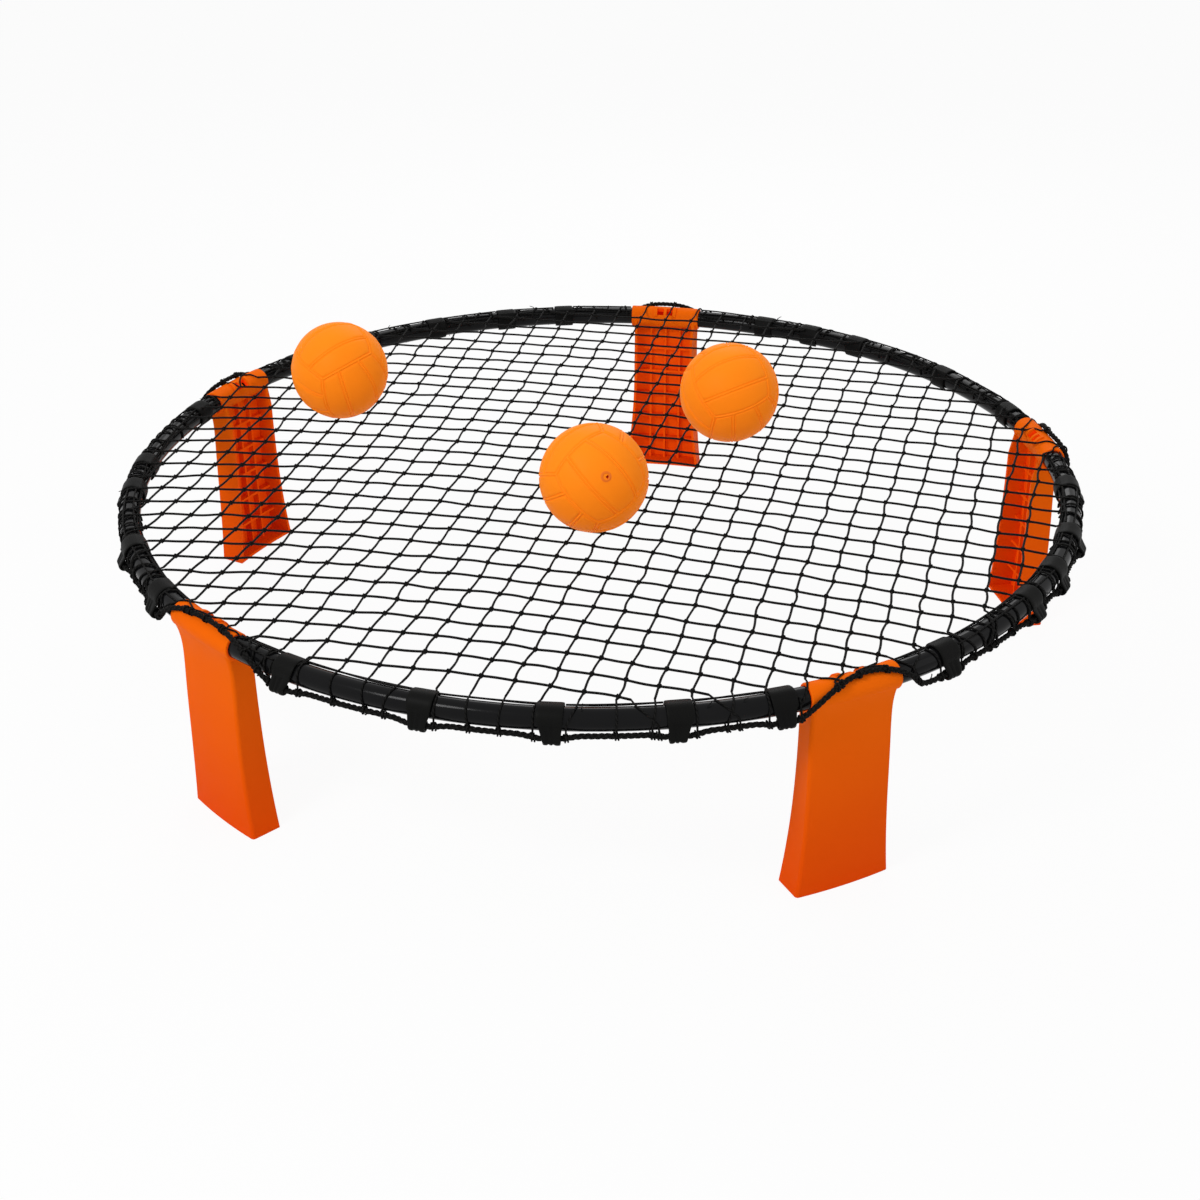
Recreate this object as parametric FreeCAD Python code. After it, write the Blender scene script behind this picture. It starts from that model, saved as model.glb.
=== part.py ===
import FreeCAD, Part
import math
import os

# Roundnet set: a ring of five tubes on five plug-in legs, a square-mesh net
# stretched over it, and three inflated balls lying on the net.
# Millimetres, +Z up. The origin is on the ground under the ring's centre.

# Ring of tubes
ring_outer_diameter = 914.4
tube_diameter = 19.05
tube_wall = 1.5
tube_height = 186.0
leg_count = 5
first_leg_angle = -64.3

# Legs
leg_wall = 3.0
sleeve_length = 81.0
sleeve_wall = 2.2
sleeve_clearance = 0.2
sleeve_edge_radius = 1.2
tube_stop_span = 25.0
tube_end_gap = 0.3
face_start_angle = -28.0
wall_meets_sleeve_angle = 186.0
side_wall_drop = 24.0
free_edge_inset = 17.1
leg_edge_radius = 3.0

# Outer face of a leg: distance outside the middle line of the tubes, at the foot
# and then at each depth under that line
foot_overhang = 9.9
leg_face = ((141.0, 9.6), (101.0, 9.0), (61.0, 7.8), (38.0, 6.9), (20.0, 7.4))

# Sides of a leg: half width at the outer face and half width at the free edge,
# at the foot and then at each depth under the middle line of the tubes
foot_face_half = 44.4
foot_edge_half = 44.6
leg_sides = (
    (146.0, 41.2, 39.4),
    (106.0, 39.8, 36.2),
    (66.0, 39.6, 34.8),
    (36.0, 39.4, 34.6),
    (21.0, 39.2, 34.8),
    (8.0, 39.1, 35.2),
)

# Ribs inside a leg, and the openings in its sleeve
rib_thickness = 2.5
rib_depth = 5.0
upright_rib_count = 3
cross_rib_count = 5
window_length = 19.0
window_low_angle = 106.0
window_high_angle = 152.0
stop_thickness = 3.4
stop_bore_diameter = 14.0
window_bead_width = 4.0
window_bead_height = 1.6
window_bead_angle = 7.0

# Net
net_mesh = 27.5
mesh_per_gap = 2
net_cord = 2.4
net_thickness = 2.0
net_rim_width = 3.0
net_inset = 15.0
row_angle = -11.0
column_angle = 82.5
row_offset = 0.36
column_offset = 0.94
edge_cord_diameter = 1.6
edge_cord_count = 100
contact_gap = 0.1
joint_gap = 0.3

# Border rope under the ring's outer side
rope_diameter = 5.0
rope_outset = 12.4
rope_drop = 10.4
rope_lead_in = 10.0
rope_gap = 0.8

# How the rope climbs over a sleeve: length from the leg's middle, angle round the tube
rope_climb = ((50.0, -40.0), (43.5, -10.0), (33.0, 18.0), (21.0, 43.0), (8.0, 62.0))
rope_early_climb = ((64.0, -40.0), (56.0, -22.0), (48.0, 10.0), (38.0, 40.0), (25.0, 62.0), (9.0, 72.0))
rope_long_climb = ((90.0, -40.0), (78.0, 8.0), (63.0, 36.0), (47.0, 58.0), (28.0, 74.0), (9.0, 78.0))
early_climb_before_leg = 5
early_climb_after_leg = 1
long_climb_after_leg = 5

# Clips that hook over the tubes and hold the rope
clip_width = 21.0
clip_wall = 2.2
clip_grip_clearance = 0.3
clip_hook_angle = 232.0
clip_tail_angle = -52.0
clip_hook_lip_diameter = 4.2
clip_lug_wall = 2.0
clip_lug_width = 15.0
clip_lug_clearance = 0.3
clip_ridge_diameter = 2.4
clip_ridge_angle = 128.0
clip_shares_of_bay = (
    (0.163, 0.380, 0.491, 0.619, 0.804),
    (0.132, 0.342, 0.568, 0.678, 0.782),
    (0.219, 0.344, 0.499, 0.660, 0.830),
    (0.125, 0.369, 0.472, 0.694, 0.861),
    (0.181, 0.397, 0.574, 0.747, 0.890),
)

# Balls: centre in the plane of the net, and the way each valve faces
ball_diameter = 97.5
ball_wall = 3.0
valve_diameter = 6.0
valve_bore_diameter = 1.2
valve_bulb_diameter = 11.0
valve_clearance = 0.05
ball_places = {
    "left": ((-265.0, 117.0), (-0.30, 0.80, 0.52)),
    "middle": ((-5.7, -146.5), (0.222, -0.8765, 0.4275)),
    "right": ((127.9, 51.5), (0.35, 0.62, -0.70)),
}

# Values that follow from the sizes above
ring_radius = (ring_outer_diameter - tube_diameter) / 2
tube_radius = tube_diameter / 2
bore_radius = tube_radius + sleeve_clearance
sleeve_radius = bore_radius + sleeve_wall
foot_radius = ring_radius + foot_overhang
free_edge_radius = ring_radius - free_edge_inset
leg_reach = foot_face_half + leg_wall
rope_radius = rope_diameter / 2
edge_cord_radius = edge_cord_diameter / 2
cord_over_tube = tube_radius + contact_gap + edge_cord_radius
cord_over_sleeve = sleeve_radius + contact_gap + edge_cord_radius
net_level = tube_height + cord_over_tube
net_top = net_level + net_thickness / 2
net_radius = ring_radius - net_inset
ball_radius = ball_diameter / 2
leg_pitch = 360.0 / leg_count

up = FreeCAD.Vector(0, 0, 1)
ground_centre = FreeCAD.Vector(0, 0, 0)


def point(radial, height):
    return FreeCAD.Vector(radial, 0, height)


def line(first, last):
    return Part.LineSegment(first, last).toShape()


def arc(first, middle, last):
    return Part.Arc(first, middle, last).toShape()


def face_of(edges):
    return Part.Face(Part.Wire(edges))


def disc_face(radial, height, radius):
    circle = Part.Circle(point(radial, height), FreeCAD.Vector(0, 1, 0), radius)
    return face_of([circle.toShape()])


def span_angle(length):
    """Turn about the ring's centre that spans a length along the tubes."""
    return math.degrees(length / ring_radius)


def swept_about_ring(profile, start_length, end_length):
    """Sweep a radial profile along the ring between two lengths from its middle."""
    turned = profile.copy()
    turned.rotate(ground_centre, up, span_angle(start_length))
    return turned.revolve(ground_centre, up, span_angle(end_length - start_length))


def around_tube(radius, angle):
    """A point of the ring's section, by its distance and angle about the tube's centre."""
    turn = math.radians(angle)
    return point(ring_radius + radius * math.cos(turn), tube_height + radius * math.sin(turn))


def sector(inner, outer, low, high):
    """A band of the ring's section between two radii and two angles about the tube's centre."""
    middle = (low + high) / 2
    return face_of([
        arc(around_tube(outer, low), around_tube(outer, middle), around_tube(outer, high)),
        line(around_tube(outer, high), around_tube(inner, high)),
        arc(around_tube(inner, high), around_tube(inner, middle), around_tube(inner, low)),
        line(around_tube(inner, low), around_tube(outer, low)),
    ])


def turned_to(shape, angle):
    turned = shape.copy()
    turned.rotate(ground_centre, up, angle)
    return turned


# Legs

def smooth_curve(places):
    """One smooth curve through a row of points."""
    curve = Part.BSplineCurve()
    curve.interpolate(places)
    return curve.toShape()


def face_top(inset):
    """Where the outer face of the leg runs into the round of the sleeve."""
    return around_tube(sleeve_radius, face_start_angle) - point(inset, 0)


def face_curve(inset):
    """Outer face of the leg in its section, from the foot up to the sleeve."""
    places = [point(foot_radius - inset, 0)]
    for depth, overhang in leg_face:
        places.append(point(ring_radius + overhang - inset, tube_height - depth))
    return smooth_curve(places + [face_top(inset)])


def side_profile():
    """Section of the whole leg under its sleeve."""
    foot = point(foot_radius, 0)
    inner_foot = point(free_edge_radius, 0)
    inner_top = point(free_edge_radius, tube_height - side_wall_drop)
    sleeve_side = around_tube(sleeve_radius, wall_meets_sleeve_angle)
    return face_of([
        face_curve(0),
        line(face_top(0), around_tube(0, 0)),
        line(around_tube(0, 0), sleeve_side),
        line(sleeve_side, inner_top),
        line(inner_top, inner_foot),
        line(inner_foot, foot),
    ])


def face_band(near, far, top):
    """Section between two depths behind the outer face, run up to a height."""
    inner = point(far, 0)
    return face_of([
        face_curve(near),
        line(face_top(near), point(face_top(near).x, top)),
        line(point(face_top(near).x, top), point(inner.x, top)),
        line(point(inner.x, top), inner),
        line(inner, point(foot_radius - near, 0)),
    ])


def side_outline(radial, inset):
    """Front outline of the leg at a distance from the ring's centre."""
    share = (radial - free_edge_radius) / (foot_radius - free_edge_radius)
    top = tube_height + sleeve_radius
    rows = [(tube_height, foot_face_half, foot_edge_half)] + list(leg_sides)
    right = []
    for depth, face_half, edge_half in rows:
        half = edge_half + (face_half - edge_half) * share - inset
        right.append(FreeCAD.Vector(radial, half, tube_height - depth))
    left = [FreeCAD.Vector(place.x, -place.y, place.z) for place in right[::-1]]
    right_top = FreeCAD.Vector(radial, right[-1].y, top)
    left_top = FreeCAD.Vector(radial, left[0].y, top)
    return Part.Wire([
        smooth_curve(right),
        line(right[-1], right_top),
        line(right_top, left_top),
        line(left_top, left[0]),
        smooth_curve(left),
        line(left[-1], right[0]),
    ])


def side_room(inset):
    """The room between the leg's two sides, which draw together towards the ring's centre."""
    inner = side_outline(free_edge_radius - 4 * leg_wall, inset)
    outer = side_outline(foot_radius + 4 * leg_wall, inset)
    return Part.makeLoft([inner, outer], True, True)


def level_slab(low, high):
    """Everything between two heights."""
    reach = 2 * ring_radius
    return Part.makeBox(2 * reach, 2 * reach, high - low, FreeCAD.Vector(-reach, -reach, low))


def pocket():
    """Hollow of the channel, from the outer wall's inside to past the free edges."""
    section = face_band(leg_wall, free_edge_radius - leg_wall, tube_height)
    room = swept_about_ring(section, -leg_reach, leg_reach)
    return room.common(side_room(leg_wall)).common(level_slab(leg_wall, tube_height))


def leg_ribs():
    """Upright and level ribs that grow out of the outer wall's inside."""
    rib_top = tube_height - sleeve_radius + leg_wall / 2
    rib_tip = ring_radius + min(overhang for depth, overhang in leg_face) - leg_wall - rib_depth
    section = face_band(leg_wall / 2, rib_tip, tube_height)
    half = rib_thickness / 2
    narrowest = min(sides[2] for sides in leg_sides)
    ribs = []
    for number in range(upright_rib_count):
        middle = 2 * narrowest * ((number + 1) / (upright_rib_count + 1) - 0.5)
        upright = swept_about_ring(section, middle - half, middle + half)
        ribs.append(upright.common(level_slab(leg_wall / 2, rib_top)))
    across = swept_about_ring(section, -leg_reach, leg_reach).common(side_room(leg_wall / 2))
    for number in range(cross_rib_count):
        middle = rib_top * (number + 1) / (cross_rib_count + 1)
        ribs.append(across.common(level_slab(middle - half, middle + half)))
    return ribs


def rounded_block():
    """The leg's solid outline, with its two outer upright edges rounded."""
    block = swept_about_ring(side_profile(), -leg_reach, leg_reach).common(side_room(0))
    edges = []
    for edge in block.Edges:
        ends = [vertex.Point for vertex in edge.Vertexes]
        rises = edge.BoundBox.ZLength > tube_height / 2
        outside = min(math.hypot(end.x, end.y) for end in ends) > ring_radius
        if rises and outside:
            edges.append(edge)
    print("rounded leg edges", len(edges))
    return block.makeFillet(leg_edge_radius, edges)


def sleeve():
    """The round body that takes the tube ends, with rounded rims."""
    half = sleeve_length / 2
    body = swept_about_ring(disc_face(ring_radius, tube_height, sleeve_radius), -half, half)
    rims = [edge for edge in body.Edges if edge.isClosed()]
    return body.makeFillet(sleeve_edge_radius, rims)


def tube_bores():
    """Room for the two tube ends, and the narrower chamber between their stops."""
    half = sleeve_length / 2
    stop = tube_stop_span / 2
    bore = disc_face(ring_radius, tube_height, bore_radius)
    chamber = disc_face(ring_radius, tube_height, stop_bore_diameter / 2)
    cuts = [
        swept_about_ring(bore, -half - leg_wall, -stop),
        swept_about_ring(bore, stop, half + leg_wall),
        swept_about_ring(chamber, -stop - leg_wall, -stop_thickness / 2),
        swept_about_ring(chamber, stop_thickness / 2, stop + leg_wall),
    ]
    return cuts


def window_cuts():
    """Two openings high on the sleeve's inner side, with the stop between them."""
    outer = sleeve_radius + leg_wall
    inner = stop_bore_diameter / 2 - leg_wall
    opening = sector(inner, outer, window_low_angle, window_high_angle)
    reach = window_length / 2
    return [
        swept_about_ring(opening, -reach, -stop_thickness / 2),
        swept_about_ring(opening, stop_thickness / 2, reach),
    ]


def window_beads():
    """Raised beads on the sleeve at both ends of the openings."""
    low = window_low_angle - window_bead_angle
    high = window_high_angle + window_bead_angle
    section = sector(sleeve_radius - sleeve_wall / 2, sleeve_radius + window_bead_height, low, high)
    start = window_length / 2
    end = start + window_bead_width
    return [swept_about_ring(section, start, end), swept_about_ring(section, -end, -start)]


def leg():
    """One moulded leg: a ribbed channel under a sleeve that joins two tubes."""
    channel = rounded_block().cut(pocket())
    channel = channel.multiFuse(leg_ribs())
    whole = channel.multiFuse([sleeve()] + window_beads())
    whole = whole.cut(Part.makeCompound(tube_bores()))
    whole = whole.cut(Part.makeCompound(window_cuts()))
    return whole.removeSplitter()


# Tubes

def rim_tube():
    """One hollow tube from a leg's stop to the next leg's stop."""
    start = tube_stop_span / 2 + tube_end_gap
    length = math.radians(leg_pitch) * ring_radius
    outside = disc_face(ring_radius, tube_height, tube_radius)
    inside = disc_face(ring_radius, tube_height, tube_radius - tube_wall)
    skin = swept_about_ring(outside, start, length - start)
    return skin.cut(swept_about_ring(inside, start - tube_wall, length - start + tube_wall))


# Net

def net_gap(row, column):
    """One gap of the mesh, drawn in by half a cord on each side."""
    pitch = net_mesh * mesh_per_gap
    half = (pitch - net_cord) / 2
    along = math.radians(row_angle)
    across = math.radians(column_angle)
    row_way = FreeCAD.Vector(math.cos(along), math.sin(along), 0)
    column_way = FreeCAD.Vector(math.cos(across), math.sin(across), 0)
    middle = row_way * (pitch * (column + 0.5 + column_offset))
    middle = middle + column_way * (pitch * (row + 0.5 + row_offset))
    middle.z = net_level - net_thickness / 2
    corners = []
    for side, end in ((-1, -1), (1, -1), (1, 1), (-1, 1)):
        corners.append(middle + row_way * (side * half) + column_way * (end * half))
    corners.append(corners[0])
    return Part.Face(Part.makePolygon(corners))


def net():
    """The flat playing surface: one face with a hole for each gap of the mesh."""
    low = point(0, net_level - net_thickness / 2)
    border = Part.Wire(Part.makeCircle(net_radius, low, up))
    inner_radius = net_radius - net_rim_width
    inner_disc = Part.Face(Part.Wire(Part.makeCircle(inner_radius, low, up)))
    reach = int(net_radius / (net_mesh * mesh_per_gap)) + 2
    least_area = (net_cord * 2) ** 2
    holes = []
    for row in range(-reach, reach):
        for column in range(-reach, reach):
            gap = net_gap(row, column)
            distances = [math.hypot(vertex.X, vertex.Y) for vertex in gap.Vertexes]
            if max(distances) < inner_radius:
                holes.append(gap.OuterWire)
            elif min(distances) < inner_radius:
                part_gap = gap.common(inner_disc)
                if part_gap.Area > least_area:
                    holes.append(part_gap.Faces[0].OuterWire)
    face = Part.Face([border] + holes)
    if face.Area > Part.Face(border).Area:
        face = Part.Face([border] + [hole.reversed() for hole in holes])
    print("net gaps", len(holes), "open share", round(1 - face.Area / Part.Face(border).Area, 3))
    return face.extrude(up * net_thickness)


def cord_along(path, start_way, radius):
    """Sweep a round cord along a smooth path of lines and arcs."""
    first = path.OrderedVertexes[0].Point
    section = Part.Wire(Part.Circle(first, start_way, radius).toShape())
    return path.makePipeShell([section], True, False)


def edge_cord_over_tube():
    """One cord from the net's edge over the tube and down to the rope."""
    over_radius = cord_over_tube
    inner = point(net_radius, net_level)
    rope_side = over_radius - rope_outset
    reach = rope_radius + edge_cord_radius
    end_height = tube_height - rope_drop + math.sqrt(reach ** 2 - rope_side ** 2)
    path = Part.Wire([
        line(inner, around_tube(over_radius, 90.0)),
        arc(around_tube(over_radius, 90.0), around_tube(over_radius, 45.0), around_tube(over_radius, 0)),
        line(around_tube(over_radius, 0), point(ring_radius + over_radius, end_height)),
    ])
    return cord_along(path, FreeCAD.Vector(1, 0, 0), edge_cord_radius)


def edge_cord_to_raised_rope(over_radius, rope_angle):
    """One cord from the net's edge over a tube or sleeve to the rope that climbs there."""
    inset = net_inset - joint_gap
    inner = point(ring_radius - inset, net_level)
    away = math.hypot(inset, cord_over_tube)
    tilt = math.degrees(math.atan2(cord_over_tube, -inset))
    touch = tilt - math.degrees(math.acos(over_radius / away))
    end = rope_angle + math.degrees((rope_radius + 2 * edge_cord_radius) / over_radius)
    touch_point = around_tube(over_radius, touch)
    path = Part.Wire([
        line(inner, touch_point),
        arc(touch_point, around_tube(over_radius, (touch + end) / 2), around_tube(over_radius, end)),
    ])
    return cord_along(path, touch_point - inner, edge_cord_radius)


def angle_between(first, second):
    """The smaller angle between two places on the ring, in degrees."""
    return abs((first - second + 180.0) % 360.0 - 180.0)


def leg_angles():
    return [first_leg_angle + leg_pitch * number for number in range(leg_count)]


def clip_angles():
    """Where the clips sit, from their shares of the bay after each leg."""
    angles = []
    for number, start in enumerate(leg_angles()):
        for share in clip_shares_of_bay[number % len(clip_shares_of_bay)]:
            angles.append(start + leg_pitch * share)
    return angles


def climb_beside(number, side):
    """The rope's climb on one side of a numbered leg."""
    if side > 0 and number == long_climb_after_leg:
        return rope_long_climb
    early_leg = early_climb_after_leg if side > 0 else early_climb_before_leg
    return rope_early_climb if number == early_leg else rope_climb


def climb_angle(climb, length):
    """The rope's angle round the tube at a length from the leg's middle."""
    for (far, low), (near, high) in zip(climb, climb[1:]):
        if near <= length:
            return high + (low - high) * (length - near) / (far - near)
    return climb[-1][1]


def edge_cords():
    """The cords that carry the net's edge over the ring, between the clips."""
    clip_room = span_angle(clip_width / 2 + edge_cord_diameter)
    sleeve_room = sleeve_length / 2 + edge_cord_diameter
    sleeve_inside = sleeve_length / 2 - edge_cord_diameter
    window_room = window_length / 2 + 2 * window_bead_width + edge_cord_diameter
    over_tube = edge_cord_over_tube()
    cords = []
    for count in range(edge_cord_count):
        angle = 360.0 * count / edge_cord_count
        beside_clip = min(angle_between(angle, clip_angle) for clip_angle in clip_angles())
        number, leg_angle = min(enumerate(leg_angles(), 1), key=lambda leg: angle_between(angle, leg[1]))
        side = 1 if (angle - leg_angle) % 360.0 < 180.0 else -1
        length = math.radians(angle_between(angle, leg_angle)) * ring_radius
        climb = climb_beside(number, side)
        on_sleeve = window_room < length < sleeve_inside
        if beside_clip < clip_room or not (on_sleeve or length > sleeve_room):
            continue
        cord = over_tube
        if length < climb[0][0]:
            over_radius = cord_over_sleeve if on_sleeve else cord_over_tube
            cord = edge_cord_to_raised_rope(over_radius, climb_angle(climb, length))
        cords.append(turned_to(cord, angle))
    print("edge cords", len(cords))
    return Part.makeCompound(cords)


def turned_point(place, angle):
    turn = FreeCAD.Rotation(up, angle)
    return turn.multVec(place)


def rope_low_point(angle):
    """A point of the rope's line under the outer side of the tubes."""
    return turned_point(point(ring_radius + rope_outset, tube_height - rope_drop), angle)


def rope_on_sleeve(angle):
    """The rope's place on a sleeve, or straight under its widest line on the leg's face."""
    away = sleeve_radius + rope_radius + rope_gap
    if angle < 0:
        away = away / math.cos(math.radians(angle))
    return around_tube(away, angle)


def rope_half_crossing(leg_angle, climb, side):
    """The rope's corners from the end of a bay's arc to the leg's middle."""
    foot_length = climb[0][0]
    bay_end = leg_angle + side * span_angle(foot_length + rope_lead_in)
    start = rope_low_point(bay_end)
    toward_leg = FreeCAD.Vector(start.y, -start.x, 0).normalize() * side
    corners = [start, start + toward_leg * rope_lead_in]
    for length, angle in climb[1:]:
        corners.append(turned_point(rope_on_sleeve(angle), leg_angle + side * span_angle(length)))
    return bay_end, corners


def rounded_route(corners):
    """Straight runs through the corners, joined by tangent arcs."""
    edges = []
    last = corners[0]
    for before, corner, after in zip(corners, corners[1:], corners[2:]):
        inward = (before - corner).normalize()
        onward = (after - corner).normalize()
        half_turn = (math.pi - inward.getAngle(onward)) / 2
        trim = 0.45 * min((before - corner).Length, (after - corner).Length)
        radius = trim / math.tan(half_turn)
        depth = radius / math.cos(half_turn) - radius
        start = corner + inward * trim
        end = corner + onward * trim
        edges.append(line(last, start))
        edges.append(arc(start, corner + (inward + onward).normalize() * depth, end))
        last = end
    edges.append(line(last, corners[-1]))
    return edges


def border_rope():
    """The rope that gathers the net's edge: low along each bay, and up over each sleeve."""
    crossings = []
    for number, angle in enumerate(leg_angles(), 1):
        start_angle, rising = rope_half_crossing(angle, climb_beside(number, -1), -1)
        end_angle, falling = rope_half_crossing(angle, climb_beside(number, 1), 1)
        crossings.append((start_angle, end_angle, rising + falling[::-1]))
    edges = []
    for number, (start_angle, end_angle, corners) in enumerate(crossings):
        edges += rounded_route(corners)
        next_start = crossings[(number + 1) % leg_count][0]
        bay = (next_start - end_angle) % 360.0
        edges.append(arc(corners[-1], rope_low_point(end_angle + bay / 2), rope_low_point(end_angle + bay)))
    middle = len(edges) // 2
    halves = []
    for run in (edges[:middle], edges[middle:]):
        way = run[0].tangentAt(run[0].FirstParameter)
        halves.append(cord_along(Part.Wire(run), way, rope_radius))
    return halves[0].fuse(halves[1])


# Clips

def clip():
    """A springy hook over the tube, with a lug round the rope at its outer end."""
    inner = tube_radius + clip_grip_clearance
    outer = inner + clip_wall
    band = sector(inner, outer, clip_tail_angle, clip_hook_angle)
    rope_hole = rope_radius + clip_lug_clearance
    rope_place = (ring_radius + rope_outset, tube_height - rope_drop)
    lug = disc_face(rope_place[0], rope_place[1], rope_hole + clip_lug_wall)
    lip_middle = around_tube(outer, clip_hook_angle)
    ridge_middle = around_tube(outer, clip_ridge_angle)
    pieces = [
        thick_face(disc_face(lip_middle.x, lip_middle.z, clip_hook_lip_diameter / 2), clip_width),
        thick_face(disc_face(ridge_middle.x, ridge_middle.z, clip_ridge_diameter / 2), clip_width),
        thick_face(lug, clip_lug_width),
    ]
    body = thick_face(band, clip_width).multiFuse(pieces)
    room = disc_face(ring_radius, tube_height, inner)
    hole = disc_face(rope_place[0], rope_place[1], rope_hole)
    body = body.cut(swept_about_ring(room, -clip_width, clip_width))
    body = body.cut(swept_about_ring(hole, -clip_width, clip_width))
    return body.removeSplitter()


def thick_face(face, width):
    """Push a radial face out along the ring by half a width to each side."""
    moved = face.copy()
    moved.translate(FreeCAD.Vector(0, -width / 2, 0))
    return moved.extrude(FreeCAD.Vector(0, width, 0))


# Balls

def ball_centre(place):
    return FreeCAD.Vector(place[0], place[1], net_top + joint_gap + ball_radius)


def ball_shell(place, valve_way):
    """A hollow rubber ball with a round seat for its valve."""
    centre = ball_centre(place)
    way = FreeCAD.Vector(*valve_way).normalize()
    outside = Part.makeSphere(ball_radius, centre)
    inside = Part.makeSphere(ball_radius - ball_wall, centre)
    seat_radius = valve_diameter / 2 + valve_clearance
    seat = Part.makeCylinder(seat_radius, ball_wall * 4, centre + way * (ball_radius - ball_wall * 2), way)
    return outside.cut(inside).cut(seat)


def ball_valve(place, valve_way):
    """A rubber plug through the ball's wall, with a bulb inside and a needle hole."""
    centre = ball_centre(place)
    way = FreeCAD.Vector(*valve_way).normalize()
    bulb_radius = valve_bulb_diameter / 2
    wall_inside = ball_radius - ball_wall
    bulb_height = math.sqrt((wall_inside - valve_clearance) ** 2 - bulb_radius ** 2)
    bulb = Part.makeCylinder(bulb_radius, ball_wall, centre + way * (bulb_height - ball_wall), way)
    stem = Part.makeCylinder(valve_diameter / 2, ball_wall * 2, centre + way * (bulb_height - ball_wall), way)
    valve = bulb.fuse(stem.common(Part.makeSphere(ball_radius, centre)))
    needle_start = centre + way * (bulb_height - 2 * ball_wall)
    needle = Part.makeCylinder(valve_bore_diameter / 2, ball_wall * 5, needle_start, way)
    return valve.cut(needle).removeSplitter()


# Model

def model():
    pieces = {}
    one_leg = leg()
    one_tube = rim_tube()
    one_clip = clip()
    for number, angle in enumerate(leg_angles(), 1):
        pieces["leg_%d" % number] = turned_to(one_leg, angle)
        pieces["rim_tube_%d" % number] = turned_to(one_tube, angle)
    for number, angle in enumerate(clip_angles(), 1):
        pieces["net_clip_%d" % number] = turned_to(one_clip, angle)
    pieces["net"] = net()
    pieces["net_edge_cords"] = edge_cords()
    pieces["border_rope"] = border_rope()
    for name, (place, valve_way) in ball_places.items():
        pieces["ball_" + name] = ball_shell(place, valve_way)
        pieces["valve_" + name] = ball_valve(place, valve_way)
    return pieces


os.makedirs("parts", exist_ok=True)
for node, shape in model().items():
    print(node, len(shape.Solids), "valid" if shape.isValid() else "NOT VALID", round(shape.Volume))
    shape.exportStep("parts/%s.step" % node)
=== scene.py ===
import math

import bpy
import numpy as np
from mathutils import Matrix, Vector


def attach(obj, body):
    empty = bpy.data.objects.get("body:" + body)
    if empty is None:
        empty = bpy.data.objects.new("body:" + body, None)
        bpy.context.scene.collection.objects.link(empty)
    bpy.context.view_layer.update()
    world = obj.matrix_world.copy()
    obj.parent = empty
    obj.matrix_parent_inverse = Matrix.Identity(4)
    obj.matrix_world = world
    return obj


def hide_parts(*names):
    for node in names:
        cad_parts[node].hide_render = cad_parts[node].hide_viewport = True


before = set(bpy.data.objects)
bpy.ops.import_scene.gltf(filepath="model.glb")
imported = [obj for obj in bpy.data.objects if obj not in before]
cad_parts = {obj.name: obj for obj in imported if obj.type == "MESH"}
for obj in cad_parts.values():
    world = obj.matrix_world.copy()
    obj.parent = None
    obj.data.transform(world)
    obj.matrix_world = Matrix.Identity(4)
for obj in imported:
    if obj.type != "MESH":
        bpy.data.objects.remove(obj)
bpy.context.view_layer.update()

mm = 0.001
ring = {
    "radius": 447.675 * mm, "height": 186.0 * mm, "tubeRadius": 9.525 * mm,
    "sleeveRadius": 11.925 * mm, "sleeveHalf": 40.5 * mm,
    "legAngles": [-64.3 + 72.0 * number for number in range(5)],
}
ballRadius = 48.75 * mm


# Scene settings, camera, lights and floor
print("stage: camera, lights and floor")
scene = bpy.context.scene
scene.view_settings.view_transform = "Standard"

cameraSetup = {
    "place": (-0.8 * mm, -1557.0 * mm, 900.5 * mm), "elevation": 28.88, "roll": -0.312,
    "focalPixels": 1746.5, "imagePixels": 1200, "sensor": 36.0,
}
lightSetup = {
    "skyStrength": 0.56, "floorSize": 9.0, "floorShade": 0.86, "floorWhiteness": 0.93,
    "softboxes": {
        "keyLight": {"place": (-1.2, -1.3, 1.8), "size": 0.7, "power": 19.5},
        "fillLight": {"place": (1.5, -0.7, 1.1), "size": 1.4, "power": 3.0},
        "backLight": {"place": (0.2, 1.5, 1.3), "size": 1.2, "power": 8.0},
    },
}


def makeCamera(setup):
    elevation = math.radians(setup["elevation"])
    roll = math.radians(setup["roll"])
    forward = Vector((0, math.cos(elevation), -math.sin(elevation)))
    level = Vector((0, math.sin(elevation), math.cos(elevation)))
    right = Vector((1, 0, 0)) * math.cos(roll) + level * math.sin(roll)
    upward = right.cross(forward)
    data = bpy.data.cameras.new("photoCamera")
    data.sensor_width = setup["sensor"]
    data.lens = setup["focalPixels"] * setup["sensor"] / setup["imagePixels"]
    data.clip_end = 50.0
    camera = bpy.data.objects.new("photoCamera", data)
    turn = Matrix((right, upward, -forward)).transposed().to_4x4()
    camera.matrix_world = Matrix.Translation(setup["place"]) @ turn
    scene.collection.objects.link(camera)
    scene.camera = camera


def makeSoftbox(name, place, size, power):
    data = bpy.data.lights.new(name, "AREA")
    data.shape = "DISK"
    data.size = size
    data.energy = power
    lamp = bpy.data.objects.new(name, data)
    lamp.location = place
    target = Vector((0, 0, ring["height"]))
    lamp.rotation_euler = (target - Vector(place)).to_track_quat("-Z", "Y").to_euler()
    scene.collection.objects.link(lamp)


def addNoise(tree, coordinates, scale, detail=3.0, roughness=0.5):
    noise = tree.nodes.new("ShaderNodeTexNoise")
    noise.inputs["Scale"].default_value = scale
    noise.inputs["Detail"].default_value = detail
    noise.inputs["Roughness"].default_value = roughness
    tree.links.new(coordinates, noise.inputs["Vector"])
    return noise


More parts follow.
